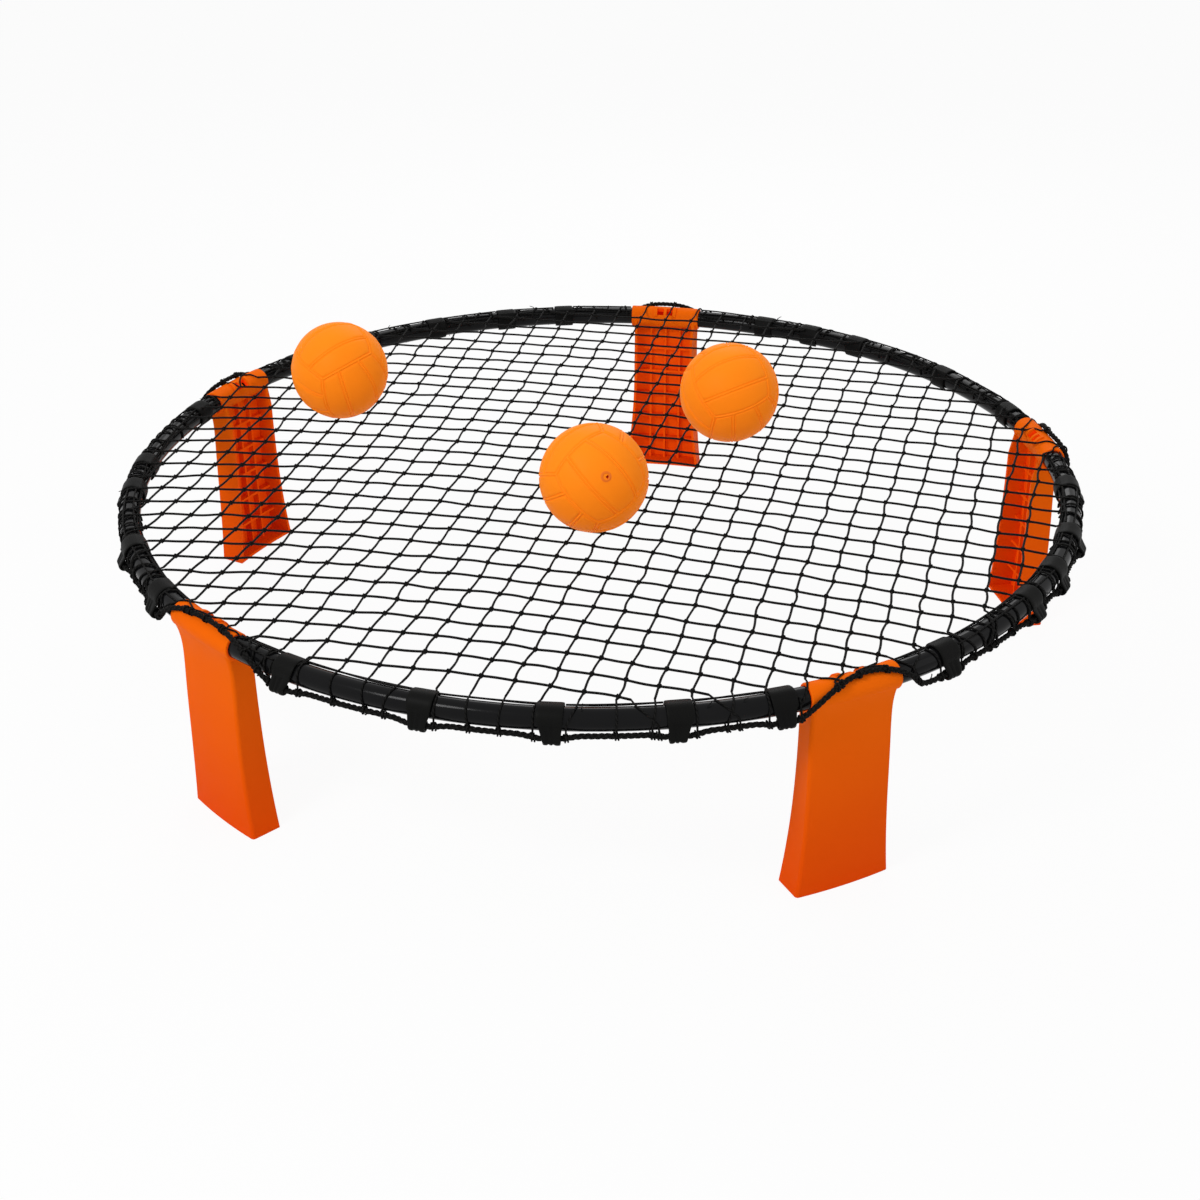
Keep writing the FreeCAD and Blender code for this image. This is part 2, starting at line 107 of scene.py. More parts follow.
def addMath(tree, operation, first, second):
    node = tree.nodes.new("ShaderNodeMath")
    node.operation = operation
    for socket, value in zip(node.inputs, (first, second)):
        if isinstance(value, (int, float)):
            socket.default_value = value
        else:
            tree.links.new(value, socket)
    return node.outputs[0]


def addRange(tree, value, low, high, newLow, newHigh):
    node = tree.nodes.new("ShaderNodeMapRange")
    node.inputs["From Min"].default_value = low
    node.inputs["From Max"].default_value = high
    node.inputs["To Min"].default_value = newLow
    node.inputs["To Max"].default_value = newHigh
    tree.links.new(value, node.inputs["Value"])
    return node.outputs["Result"]


def addColourMix(tree, share, first, second):
    node = tree.nodes.new("ShaderNodeMix")
    node.data_type = "RGBA"
    for socket, value in ((node.inputs[0], share), (node.inputs[6], first), (node.inputs[7], second)):
        if isinstance(value, (int, float, tuple)):
            socket.default_value = value
        else:
            tree.links.new(value, socket)
    return node.outputs[2]


def raySeesBackground(tree):
    rays = tree.nodes.new("ShaderNodeLightPath").outputs
    either = addMath(tree, "MAXIMUM", rays["Is Camera Ray"], rays["Is Glossy Ray"])
    return addMath(tree, "MAXIMUM", either, rays["Is Transmission Ray"])


def mixShaders(tree, share, first, second, output):
    mixed = tree.nodes.new("ShaderNodeMixShader")
    for source, socket in ((share, "Fac"), (first.outputs[0], 1), (second.outputs[0], 2)):
        tree.links.new(source, mixed.inputs[socket])
    tree.links.new(mixed.outputs[0], output.inputs["Surface"])


def whiteBackground(tree, strength):
    background = tree.nodes.new("ShaderNodeBackground")
    background.inputs["Color"].default_value = (1.0, 1.0, 1.0, 1.0)
    background.inputs["Strength"].default_value = strength
    return background


def makeWorld(setup):
    world = bpy.data.worlds.new("whiteStudio")
    scene.world = world
    world.use_nodes = True
    tree = world.node_tree
    tree.nodes.clear()
    output = tree.nodes.new("ShaderNodeOutputWorld")
    sky = whiteBackground(tree, setup["skyStrength"])
    seen = whiteBackground(tree, 1.0)
    mixShaders(tree, raySeesBackground(tree), sky, seen, output)


def makeFloor(setup):
    size = setup["floorSize"]
    mesh = bpy.data.meshes.new("studioFloor")
    corners = [(-size, -size, 0), (size, -size, 0), (size, size, 0), (-size, size, 0)]
    mesh.from_pydata(corners, [], [(0, 1, 2, 3)])
    floor = bpy.data.objects.new("studioFloor", mesh)
    scene.collection.objects.link(floor)
    material = bpy.data.materials.new("palePaperFloor")
    material.use_nodes = True
    tree = material.node_tree
    tree.nodes.clear()
    output = tree.nodes.new("ShaderNodeOutputMaterial")
    paper = tree.nodes.new("ShaderNodeBsdfDiffuse")
    shade = setup["floorShade"]
    paper.inputs["Color"].default_value = (shade, shade, shade, 1.0)
    glow = tree.nodes.new("ShaderNodeEmission")
    share = addMath(tree, "MULTIPLY", raySeesBackground(tree), setup["floorWhiteness"])
    mixShaders(tree, share, paper, glow, output)
    mesh.materials.append(material)


makeCamera(cameraSetup)
makeWorld(lightSetup)
makeFloor(lightSetup)
for name, softbox in lightSetup["softboxes"].items():
    makeSoftbox(name, **softbox)


# Shader groups shared by several materials
print("stage: shader groups")
surfaceLook = {
    "driftScale": 7.0, "driftRange": (0.35, 0.65), "rubScale": 60.0, "rubRange": (0.45, 0.75),
    "fluffScale": 1500.0, "fluffRange": (0.35, 0.7), "fluffHeight": 0.35, "strandHighlight": 0.8,
}


def newGroup(name, inputs, outputs):
    group = bpy.data.node_groups.new(name, "ShaderNodeTree")
    for title, kind, value in inputs:
        socket = group.interface.new_socket(title, in_out="INPUT", socket_type=kind)
        socket.default_value = value
    for title, kind in outputs:
        group.interface.new_socket(title, in_out="OUTPUT", socket_type=kind)
    return group, group.nodes.new("NodeGroupInput"), group.nodes.new("NodeGroupOutput")


def mouldedSurfaceGroup():
    # colour that drifts a little over the moulding, with fine grain and rub marks
    group, given, made = newGroup(
        "mouldedSurface",
        [("Color", "NodeSocketColor", (0.8, 0.8, 0.8, 1.0)),
         ("Deep Color", "NodeSocketColor", (0.6, 0.6, 0.6, 1.0)),
         ("Roughness", "NodeSocketFloat", 0.4), ("Rub", "NodeSocketFloat", 0.12),
         ("Grain Scale", "NodeSocketFloat", 1400.0)],
        [("Color", "NodeSocketColor"), ("Roughness", "NodeSocketFloat"), ("Height", "NodeSocketFloat")],
    )
    place = group.nodes.new("ShaderNodeTexCoord").outputs["Object"]
    drift = addNoise(group, place, surfaceLook["driftScale"], 2.0)
    cloud = addRange(group, drift.outputs["Fac"], *surfaceLook["driftRange"], 0.0, 1.0)
    mixed = addColourMix(group, cloud, given.outputs["Color"], given.outputs["Deep Color"])
    group.links.new(mixed, made.inputs["Color"])
    rubbed = addNoise(group, place, surfaceLook["rubScale"], 6.0, 0.7)
    rubMask = addRange(group, rubbed.outputs["Fac"], *surfaceLook["rubRange"], 0.0, 1.0)
    rubbing = addMath(group, "MULTIPLY", rubMask, given.outputs["Rub"])
    rough = addMath(group, "ADD", given.outputs["Roughness"], rubbing)
    group.links.new(rough, made.inputs["Roughness"])
    grain = addNoise(group, place, 1.0, 2.0)
    group.links.new(given.outputs["Grain Scale"], grain.inputs["Scale"])
    group.links.new(grain.outputs["Fac"], made.inputs["Height"])
    return group


def twistedCordGroup():
    # strands that wind round a cord: u runs along the cord in metres, v once round it
    group, given, made = newGroup(
        "twistedCord",
        [("Color", "NodeSocketColor", (0.02, 0.02, 0.02, 1.0)),
         ("Crown Highlight Color", "NodeSocketColor", (0.05, 0.05, 0.05, 1.0)),
         ("Twists Per Metre", "NodeSocketFloat", 160.0), ("Strands", "NodeSocketFloat", 2.0)],
        [("Color", "NodeSocketColor"), ("Height", "NodeSocketFloat")],
    )
    coordinates = group.nodes.new("ShaderNodeTexCoord")
    split = group.nodes.new("ShaderNodeSeparateXYZ")
    group.links.new(coordinates.outputs["UV"], split.inputs[0])
    along = addMath(group, "MULTIPLY", split.outputs["X"], given.outputs["Twists Per Metre"])
    across = addMath(group, "MULTIPLY", split.outputs["Y"], given.outputs["Strands"])
    turned = addMath(group, "ADD", along, across)
    wave = addMath(group, "SINE", addMath(group, "MULTIPLY", turned, 2 * math.pi), 0.0)
    strand = addRange(group, wave, -1.0, 1.0, 0.0, 1.0)
    look = surfaceLook
    fluff = addNoise(group, coordinates.outputs["Object"], look["fluffScale"], 2.0)
    fluffMask = addRange(group, fluff.outputs["Fac"], *look["fluffRange"], 0.0, look["fluffHeight"])
    height = addMath(group, "ADD", strand, fluffMask)
    group.links.new(height, made.inputs["Height"])
    # painted highlight on the raised strands and fluff, painted shade in the grooves between them
    highlightShare = addMath(group, "MULTIPLY", height, look["strandHighlight"])
    mixed = addColourMix(group, highlightShare, given.outputs["Color"], given.outputs["Crown Highlight Color"])
    group.links.new(mixed, made.inputs["Color"])
    return group


groups = {"moulded": mouldedSurfaceGroup(), "cord": twistedCordGroup()}


def newMaterial(name):
    material = bpy.data.materials.new(name)
    material.use_nodes = True
    return material, material.node_tree, material.node_tree.nodes["Principled BSDF"]


def placeGroup(tree, key, values):
    node = tree.nodes.new("ShaderNodeGroup")
    node.node_tree = groups[key]
    for title, value in values.items():
        node.inputs[title].default_value = value
    return node


def addBump(tree, shader, height, strength, distance):
    bump = tree.nodes.new("ShaderNodeBump")
    bump.inputs["Strength"].default_value = strength
    bump.inputs["Distance"].default_value = distance
    tree.links.new(height, bump.inputs["Height"])
    tree.links.new(bump.outputs["Normal"], shader.inputs["Normal"])


def channelShadeMask(tree, position, normal, height, finish):
    # one where a surface looks towards the ring's middle axis, below a height: where painted shade goes on
    # the legs' channels
    flat = tree.nodes.new("ShaderNodeVectorMath")
    flat.operation = "MULTIPLY"
    flat.inputs[1].default_value = (1.0, 1.0, 0.0)
    tree.links.new(position, flat.inputs[0])
    outward = tree.nodes.new("ShaderNodeVectorMath")
    outward.operation = "NORMALIZE"
    tree.links.new(flat.outputs[0], outward.inputs[0])
    facing = tree.nodes.new("ShaderNodeVectorMath")
    facing.operation = "DOT_PRODUCT"
    tree.links.new(outward.outputs[0], facing.inputs[0])
    tree.links.new(normal, facing.inputs[1])
    inward = addRange(tree, facing.outputs["Value"], *finish["inwardRange"], 0.0, 1.0)
    below = addRange(tree, height, finish["insideHigh"], finish["insideLow"], 0.0, 1.0)
    return addMath(tree, "MULTIPLY", inward, below)


def boreShadeMask(tree, split, finish):
    # one inside the sleeves, by the distance from the tubes' middle line, where painted shade goes
    def addLength(first, second):
        squares = [addMath(tree, "MULTIPLY", side, side) for side in (first, second)]
        return addMath(tree, "SQRT", addMath(tree, "ADD", *squares), 0.0)

    outward = addMath(tree, "SUBTRACT", addLength(split["X"], split["Y"]), ring["radius"])
    upward = addMath(tree, "SUBTRACT", split["Z"], ring["height"])
    return addRange(tree, addLength(outward, upward), *finish["boreRange"], 0.0, 1.0)


def mouldedMaterial(name, finish):
    material, tree, shader = newMaterial(name)
    surface = placeGroup(tree, "moulded", {
        "Color": finish["colour"], "Deep Color": finish["deepColour"],
        "Roughness": finish["roughness"], "Rub": finish["rub"], "Grain Scale": finish["grainScale"],
    })
    colour = surface.outputs["Color"]
    if "insideShadeColour" in finish:
        geometry = tree.nodes.new("ShaderNodeNewGeometry").outputs
        splitNode = tree.nodes.new("ShaderNodeSeparateXYZ")
        tree.links.new(geometry["Position"], splitNode.inputs[0])
        split = splitNode.outputs
        inside = channelShadeMask(tree, geometry["Position"], geometry["Normal"], split["Z"], finish)
        bore = boreShadeMask(tree, split, finish)
        # painted shade: the legs' colour turns darker and redder towards the bottom
        low = addRange(tree, split["Z"], finish["shadeFadeHigh"], 0.0, 0.0, 1.0)
        colour = addColourMix(tree, low, colour, finish["footShadeColour"])
        # painted shade: the channels and the inside of the sleeves take a deeper red
        colour = addColourMix(tree, addMath(tree, "MAXIMUM", inside, bore), colour, finish["insideShadeColour"])
        # painted light: emission that brightens the shaded channels and the inside of the sleeves, though the
        # legs are no lamp
        glow = addColourMix(tree, inside, (0.0, 0.0, 0.0, 1.0), finish["channelGlow"])
        tree.links.new(addColourMix(tree, bore, glow, finish["boreGlow"]), shader.inputs["Emission Color"])
        shader.inputs["Emission Strength"].default_value = 1.0
    elif "shadeLiftGlow" in finish:
        # painted light: an emission that lifts the ball's shaded side to a brighter orange
        shader.inputs["Emission Color"].default_value = finish["shadeLiftGlow"]
        shader.inputs["Emission Strength"].default_value = 1.0
    tree.links.new(colour, shader.inputs["Base Color"])
    tree.links.new(surface.outputs["Roughness"], shader.inputs["Roughness"])
    addBump(tree, shader, surface.outputs["Height"], finish["grain"], finish["grainDepth"])
    shader.inputs["Specular IOR Level"].default_value = finish["gloss"]
    return material


def cordMaterial(name, finish):
    material, tree, shader = newMaterial(name)
    strands = placeGroup(tree, "cord", {
        "Color": finish["colour"], "Crown Highlight Color": finish["crownHighlightColour"],
        "Twists Per Metre": finish["twists"], "Strands": finish["strands"],
    })
    tree.links.new(strands.outputs["Color"], shader.inputs["Base Color"])
    addBump(tree, shader, strands.outputs["Height"], finish["bump"], finish["bumpDepth"])
    shader.inputs["Roughness"].default_value = finish["roughness"]
    shader.inputs["Specular IOR Level"].default_value = finish["gloss"]
    return material


finishes = {
    # leg: the foot and inside colours are painted shade, and the channel and bore glows are painted light
    "leg": {"colour": (0.94, 0.150, 0.003, 1), "deepColour": (0.89, 0.132, 0.002, 1), "roughness": 0.45,
            "footShadeColour": (0.85, 0.080, 0.002, 1), "shadeFadeHigh": 190 * mm,
            "rub": 0.10, "grainScale": 1800.0, "grain": 0.10, "grainDepth": 0.0002, "gloss": 0.012,
            "insideShadeColour": (0.92, 0.100, 0.003, 1), "insideLow": 150 * mm, "insideHigh": 176 * mm,
            "inwardRange": (-0.2, -0.8), "boreRange": (11.4 * mm, 10.6 * mm),
            "channelGlow": (0.13, 0.010, 0.0, 1), "boreGlow": (0.12, 0.003, 0.0, 1)},
    "tube": {"colour": (0.004, 0.004, 0.0045, 1), "deepColour": (0.007, 0.007, 0.0075, 1), "roughness": 0.14,
             "rub": 0.05, "grainScale": 900.0, "grain": 0.04, "grainDepth": 0.0001, "gloss": 0.09},
    "clip": {"colour": (0.0045, 0.0045, 0.0045, 1), "deepColour": (0.0075, 0.0075, 0.007, 1),
             "roughness": 0.46, "rub": 0.12, "grainScale": 1500.0, "grain": 0.20,
             "grainDepth": 0.0002, "gloss": 0.04},
    # ball: its glow is painted light that lifts the shaded side
    "ball": {"colour": (1.0, 0.295, 0.012, 1), "deepColour": (1.0, 0.262, 0.009, 1), "roughness": 0.50,
             "rub": 0.06, "grainScale": 1300.0, "grain": 0.06, "grainDepth": 0.0002, "gloss": 0.05,
             "shadeLiftGlow": (0.13, 0.014, 0.0, 1)},
    "valve": {"colour": (0.95, 0.20, 0.005, 1), "deepColour": (0.9, 0.18, 0.005, 1), "roughness": 0.5,
              "rub": 0.1, "grainScale": 1600.0, "grain": 0.1, "grainDepth": 0.0002, "gloss": 0.26},
    "needleHole": {"colour": (0.75, 0.030, 0.001, 1), "deepColour": (0.6, 0.020, 0.001, 1), "roughness": 0.6,
                   "rub": 0.1, "grainScale": 1600.0, "grain": 0.1, "grainDepth": 0.0002, "gloss": 0.2},
    # net and rope: the lighter strand colour is a painted highlight on the strands' crowns
    "net": {"colour": (0.0025, 0.0025, 0.0025, 1), "crownHighlightColour": (0.013, 0.0125, 0.012, 1), "twists": 230.0,
            "strands": 2.0, "bump": 0.6, "bumpDepth": 0.0005, "roughness": 0.66, "gloss": 0.05},
    "rope": {"colour": (0.0025, 0.0025, 0.0025, 1), "crownHighlightColour": (0.012, 0.0115, 0.011, 1), "twists": 330.0,
             "strands": 1.0, "bump": 0.6, "bumpDepth": 0.0005, "roughness": 0.70, "gloss": 0.05},
}
materials = {name: mouldedMaterial(name + "Finish", finishes[name])
             for name in ("leg", "tube", "clip", "ball", "valve", "needleHole")}
materials.update({name: cordMaterial(name + "Cord", finishes[name]) for name in ("net", "rope")})


# Mesh helpers
def newSurface():
    return {"verts": [], "faces": [], "uvs": [], "count": 0}


def addPart(surface, verts, faces, uvs):
    start = surface["count"]
    surface["verts"].append(verts)
    surface["faces"].extend([[start + index for index in face] for face in faces])
    surface["uvs"].extend(uvs)
    surface["count"] += len(verts)


def gridFaces(rowCount, columnCount, lengths, closed=False):
    # four-sided faces between rows of vertices that close on themselves, with their places on the texture
    faces, uvs = [], []
    for row in range(rowCount if closed else rowCount - 1):
        nextRow = (row + 1) % rowCount
        for column in range(columnCount):
            nextColumn = (column + 1) % columnCount
            faces.append((row * columnCount + column, nextRow * columnCount + column,
                          nextRow * columnCount + nextColumn, row * columnCount + nextColumn))
            low, high = column / columnCount, (column + 1) / columnCount
            uvs.extend(((lengths[row], low), (lengths[row + 1], low),
                        (lengths[row + 1], high), (lengths[row], high)))
    return faces, uvs


def turnedOver(faces, uvs):
    # the same faces seen from their other side
    uvs = [uvs[start + step] for start in range(0, len(uvs), 4) for step in (0, 3, 2, 1)]
    return [(face[0],) + face[:0:-1] for face in faces], uvs


def tubeFrames(points, closed):
    # directions along a path, and a side way carried along it without needless turning
    if closed:
        along = np.roll(points, -1, axis=0) - np.roll(points, 1, axis=0)
    else:
        along = np.gradient(points, axis=0)
    along /= np.linalg.norm(along, axis=1)[:, None]
    side = np.cross(along[0], (0.0, 0.0, 1.0))
    if np.linalg.norm(side) < 0.1:
        side = np.cross(along[0], (1.0, 0.0, 0.0))
    sides = []
    for way in along:
        side = side - way * side.dot(way)
        side = side / np.linalg.norm(side)
        sides.append(side)
    sides = np.array(sides)
    return along, sides, np.cross(along, sides)


def addTube(surface, points, radius, sideCount, closed=False):
    points = np.asarray(points, float)
    count = len(points)
    _, first, second = tubeFrames(points, closed)
    radii = np.broadcast_to(np.asarray(radius, float), (count,))
    turns = np.linspace(0.0, 2 * math.pi, sideCount, endpoint=False)
    rims = first[:, None, :] * np.cos(turns)[None, :, None]
    rims = rims + second[:, None, :] * np.sin(turns)[None, :, None]
    verts = (points[:, None, :] + rims * radii[:, None, None]).reshape(-1, 3)
    steps = np.linalg.norm(np.roll(points, -1, axis=0) - points, axis=1)
    lengths = np.concatenate([[0.0], np.cumsum(steps)])
    faces, uvs = gridFaces(count, sideCount, lengths, closed)
    if not closed:
        faces.append(tuple(range(sideCount)))
        faces.append(tuple(range(len(verts) - 1, len(verts) - 1 - sideCount, -1)))
        uvs.extend([(lengths[0], 0.5)] * sideCount + [(lengths[-2], 0.5)] * sideCount)
    addPart(surface, verts, faces, uvs)


def makeMesh(name, surface, material):
    mesh = bpy.data.meshes.new(name)
    verts = np.concatenate(surface["verts"])
    mesh.from_pydata(verts.tolist(), [], surface["faces"])
    layer = mesh.uv_layers.new(name="UVMap")
    layer.data.foreach_set("uv", np.array(surface["uvs"], np.float32).ravel())
    mesh.materials.append(material)
    mesh.polygons.foreach_set("use_smooth", [True] * len(mesh.polygons))
    mesh.validate()
    mesh.update()
    return mesh


def makePiece(name, mesh, body, replaced=(), turn=None):
    piece = bpy.data.objects.new(name, mesh)
    scene.collection.objects.link(piece)
    if turn is not None:
        piece.matrix_world = turn
    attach(piece, body)
    if replaced:
        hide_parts(*replaced)
    return piece


def ringPoint(azimuth, outward, height):
    # a place beside the ring: azimuth in degrees, offsets from the tubes' centre line
    turn = math.radians(azimuth)
    away = ring["radius"] + outward
    return np.array((away * math.cos(turn), away * math.sin(turn), ring["height"] + height))


def aroundTube(azimuth, away, angle):
    turn = math.radians(angle)
    return ringPoint(azimuth, away * math.cos(turn), away * math.sin(turn))


def angleApart(first, second):
    return (first - second + 180.0) % 360.0 - 180.0


def nearestLeg(azimuth):
    # signed length along the ring from the nearest leg's middle
    gaps = [angleApart(azimuth, leg) for leg in ring["legAngles"]]
    gap = min(gaps, key=abs)
    return math.radians(gap) * ring["radius"]


# Clips: a band hooked over the tube that narrows to a pleated loop round the rope
print("stage: clips")
clipShape = {
    "halfWidth": 10.5 * mm, "tipHalfWidth": 6.6 * mm, "thickness": 2.2 * mm, "gap": 0.3 * mm,
    "edgeThin": 0.35, "taperStart": 0.78, "taperEnd": 0.86, "leans": (-0.7, 0.0, 0.6),
    "bandSteps": 34, "loopSteps": 20, "acrossSteps": 19, "loopAngles": (8.0, -205.0),
    "hookAngle": 232.0, "leaveAngle": -8.0, "loopOutset": 12.4 * mm, "loopDrop": 10.4 * mm,
    "ropeRadius": 2.5 * mm, "pleatDepth": 0.95 * mm, "pleatPlaces": (-0.34, 0.22), "pleatWidth": 0.13,
    "ridgeAngle": 128.0, "ridgeSpread": 6.0, "ridgeHeight": 0.9 * mm,
    "sharesOfBay": ((0.163, 0.380, 0.491, 0.619, 0.804), (0.132, 0.342, 0.568, 0.678, 0.782),
                    (0.219, 0.344, 0.499, 0.660, 0.830), (0.125, 0.369, 0.472, 0.694, 0.861),
                    (0.181, 0.397, 0.574, 0.747, 0.890)),
}
clipAngles = [leg + 72.0 * share for leg, shares in zip(ring["legAngles"], clipShape["sharesOfBay"])
              for share in shares]


def clipMiddleLine(shape):
    # the band's middle line in the ring's section, from the hook's end to the loop's end
    away = ring["tubeRadius"] + shape["gap"] + shape["thickness"] / 2
    band = np.radians(np.linspace(shape["hookAngle"], shape["leaveAngle"], shape["bandSteps"]))
    points = [(away * math.cos(turn), away * math.sin(turn)) for turn in band]
    loop = shape["ropeRadius"] + shape["gap"] + shape["thickness"] / 2
    for turn in np.radians(np.linspace(*shape["loopAngles"], shape["loopSteps"])):
        points.append((shape["loopOutset"] + loop * math.cos(turn),
                       -shape["loopDrop"] + loop * math.sin(turn)))
    return np.array(points)


def clipSurface(shape, lean):
    middle = clipMiddleLine(shape)
    along = np.gradient(middle, axis=0)
    along /= np.linalg.norm(along, axis=1)[:, None]
    out = np.stack([-along[:, 1], along[:, 0]], axis=1)
    steps = np.concatenate([[0.0], np.cumsum(np.linalg.norm(np.diff(middle, axis=0), axis=1))])
    total = steps[-1]
    bandEnd = steps[shape["bandSteps"] - 1]
    taperStart = bandEnd * shape["taperStart"]
    across = np.sin(np.linspace(-math.pi / 2, math.pi / 2, shape["acrossSteps"]))
    rows = []
    for index, (place, way) in enumerate(zip(middle, out)):
        toTip = min(max((steps[index] - taperStart) / (total * shape["taperEnd"] - taperStart), 0.0), 1.0)
        ease = toTip * toTip * (3 - 2 * toTip)
        half = shape["halfWidth"] + (shape["tipHalfWidth"] - shape["halfWidth"]) * ease
        shift = lean * (shape["halfWidth"] - shape["tipHalfWidth"]) * ease
        angle = math.degrees(math.atan2(place[1], place[0])) % 360.0
        ridge = 0.0
        if index < shape["bandSteps"]:
            fromRidge = (angle - shape["ridgeAngle"]) / shape["ridgeSpread"]
            ridge = shape["ridgeHeight"] * math.exp(-fromRidge ** 2)
        row = []
        for side in (1, -1):
            for share in (across if side > 0 else across[::-1][1:-1]):
                edge = math.sqrt(max(1.0 - abs(share) ** 9, 0.0))
                thick = shape["thickness"] / 2 * (shape["edgeThin"] + (1 - shape["edgeThin"]) * edge)
                pleat = sum(math.exp(-((share - where) / shape["pleatWidth"]) ** 2)
                            for where in shape["pleatPlaces"])
                lift = thick + (ridge - shape["pleatDepth"] * ease * pleat) if side > 0 else -thick
                spot = place + way * lift
                row.append((spot[0], share * half + shift, spot[1]))
        rows.append(row)
    count = len(rows[0])
    verts = np.array([spot for row in rows for spot in row])
    faces, uvs = turnedOver(*gridFaces(len(rows), count, steps))
    faces.append(tuple(range(count - 1, -1, -1)))
    faces.append(tuple(range(len(verts) - count, len(verts))))
    uvs.extend([(0.0, 0.0)] * count + [(total, 0.0)] * count)
    surface = newSurface()
    verts += np.array((ring["radius"], 0.0, ring["height"]))
    addPart(surface, verts, faces, uvs)
    return surface


clipMeshes = [makeMesh("netClipShape%d" % number, clipSurface(clipShape, lean), materials["clip"])
              for number, lean in enumerate(clipShape["leans"])]
for number, angle in enumerate(clipAngles, 1):
    turn = Matrix.Rotation(math.radians(angle), 4, "Z")
    makePiece("netClipBand%d" % number, clipMeshes[number % len(clipMeshes)], "root",
              ["net_clip_%d" % number], turn)


# Rope that gathers the net's edge: low along each bay, up over each sleeve
print("stage: border rope")
ropeShape = {
    "radius": 2.5 * mm, "strandRadius": 1.32 * mm, "strandAway": 1.25 * mm, "turnLength": 15.0 * mm,
    "outset": 12.4 * mm, "drop": 10.4 * mm, "gap": 0.8 * mm,
    "climb": ((50.0, -40.0), (43.5, -10.0), (33.0, 18.0), (21.0, 43.0), (8.0, 62.0)),
    "earlyClimb": ((64.0, -40.0), (56.0, -22.0), (48.0, 10.0), (38.0, 40.0), (25.0, 62.0), (9.0, 72.0)),
    "longClimb": ((90.0, -40.0), (78.0, 8.0), (63.0, 36.0), (47.0, 58.0), (28.0, 74.0), (9.0, 78.0)),
    "earlyBeforeLeg": 5, "earlyAfterLeg": 1, "longAfterLeg": 5, "smoothing": 5.0 * mm, "samples": 2880,
    "smoothingReach": 40, "strands": 3, "strandSides": 7, "pathStep": 2, "phaseWander": 0.25, "seed": 5,
    "drawnInOutset": 8.2 * mm, "drawnInDrop": 10.0 * mm, "heldHalf": 9.0 * mm, "easeLength": 13.0 * mm,
}


def ropeSection(shape):
    # the rope's offsets from the tubes' centre line, all the way round
    corners = []
    for number, leg in enumerate(ring["legAngles"], 1):
        for side in (-1, 1):
            early = number == (shape["earlyBeforeLeg"] if side < 0 else shape["earlyAfterLeg"])
            isLong = side > 0 and number == shape["longAfterLeg"]
            climb = shape["longClimb" if isLong else "earlyClimb" if early else "climb"]
            for index, (length, angle) in enumerate(climb):
                away = ring["sleeveRadius"] + shape["radius"] + shape["gap"]
                turn = math.radians(angle)
                away = away / math.cos(turn) if angle < 0 else away
                spot = (away * math.cos(turn), away * math.sin(turn))
                spot = (shape["outset"], -shape["drop"]) if index == 0 else spot
                azimuth = leg + side * math.degrees(length * mm / ring["radius"])
                corners.append((azimuth % 360.0, spot))
    # held low by each clip, and drawn in against the tube between them
    held = math.degrees(shape["heldHalf"] / ring["radius"])
    ease = math.degrees(shape["easeLength"] / ring["radius"])
    drawnIn = (shape["drawnInOutset"], -shape["drawnInDrop"])
    for leg, shares in zip(ring["legAngles"], clipShape["sharesOfBay"]):
        clips = [leg + 72.0 * share for share in shares]
        for index, clip in enumerate(clips):
            corners.append(((clip - held) % 360.0, (shape["outset"], -shape["drop"])))
            corners.append(((clip + held) % 360.0, (shape["outset"], -shape["drop"])))
            if index and clip - clips[index - 1] > 2 * (held + ease):
                corners.append(((clips[index - 1] + held + ease) % 360.0, drawnIn))
                corners.append(((clip - held - ease) % 360.0, drawnIn))
            elif index:
                corners.append(((clip + clips[index - 1]) / 2 % 360.0, drawnIn))
    corners.sort()
    angles = np.array([corner[0] for corner in corners])
    spots = np.array([corner[1] for corner in corners])
    azimuths = np.arange(shape["samples"]) * 360.0 / shape["samples"]
    section = np.stack([np.interp(azimuths, angles, spots[:, axis], period=360.0) for axis in (0, 1)], axis=1)
    step = 2 * math.pi * ring["radius"] / shape["samples"]
    reach = shape["smoothingReach"]
    weights = np.exp(-(np.arange(-reach, reach + 1) * step / shape["smoothing"]) ** 2)
    weights /= weights.sum()
    padded = np.concatenate([section[-reach:], section, section[:reach]])
    return azimuths, np.stack([np.convolve(padded[:, axis], weights, "valid") for axis in (0, 1)], axis=1)


ropeAzimuths, ropeOffsets = ropeSection(ropeShape)


def ropePlace(azimuth):
    return tuple(np.interp(azimuth % 360.0, ropeAzimuths, ropeOffsets[:, axis], period=360.0)
                 for axis in (0, 1))


def ropeSurface(shape):
    ropeChance = np.random.default_rng(shape["seed"])
    step = shape["pathStep"]
    core = np.array([ringPoint(azimuth, *spot)
                     for azimuth, spot in zip(ropeAzimuths[::step], ropeOffsets[::step])])
    _, first, second = tubeFrames(core, True)
    lengths = np.concatenate([[0.0], np.cumsum(np.linalg.norm(np.diff(core, axis=0), axis=1))])
    total = lengths[-1] + np.linalg.norm(core[0] - core[-1])
    # the carried side way doesn't meet itself after one lap, so the strands make up the difference
    lack = math.atan2(np.dot(first[-1], second[0]), np.dot(first[-1], first[0]))
    turns = round(total / shape["turnLength"])
    surface = newSurface()
    wobble = np.cumsum(ropeChance.normal(0.0, 1.0, (shape["strands"], len(core))), axis=1)
    wobble -= np.linspace(0.0, 1.0, len(core))[None, :] * wobble[:, -1:]
    wobble = shape["phaseWander"] * wobble / np.abs(wobble).max()
    for strand in range(shape["strands"]):
        phase = 2 * math.pi * (turns * lengths / total + strand / shape["strands"]) + lack * lengths / total
        phase = phase + wobble[strand]
        path = core + shape["strandAway"] * (first * np.cos(phase)[:, None] + second * np.sin(phase)[:, None])
        addTube(surface, path, shape["strandRadius"], shape["strandSides"], closed=True)
    return surface


ropePieceMesh = makeMesh("borderRopeTwisted", ropeSurface(ropeShape), materials["rope"])
makePiece("borderRopeTwisted", ropePieceMesh, "root", ["border_rope"])


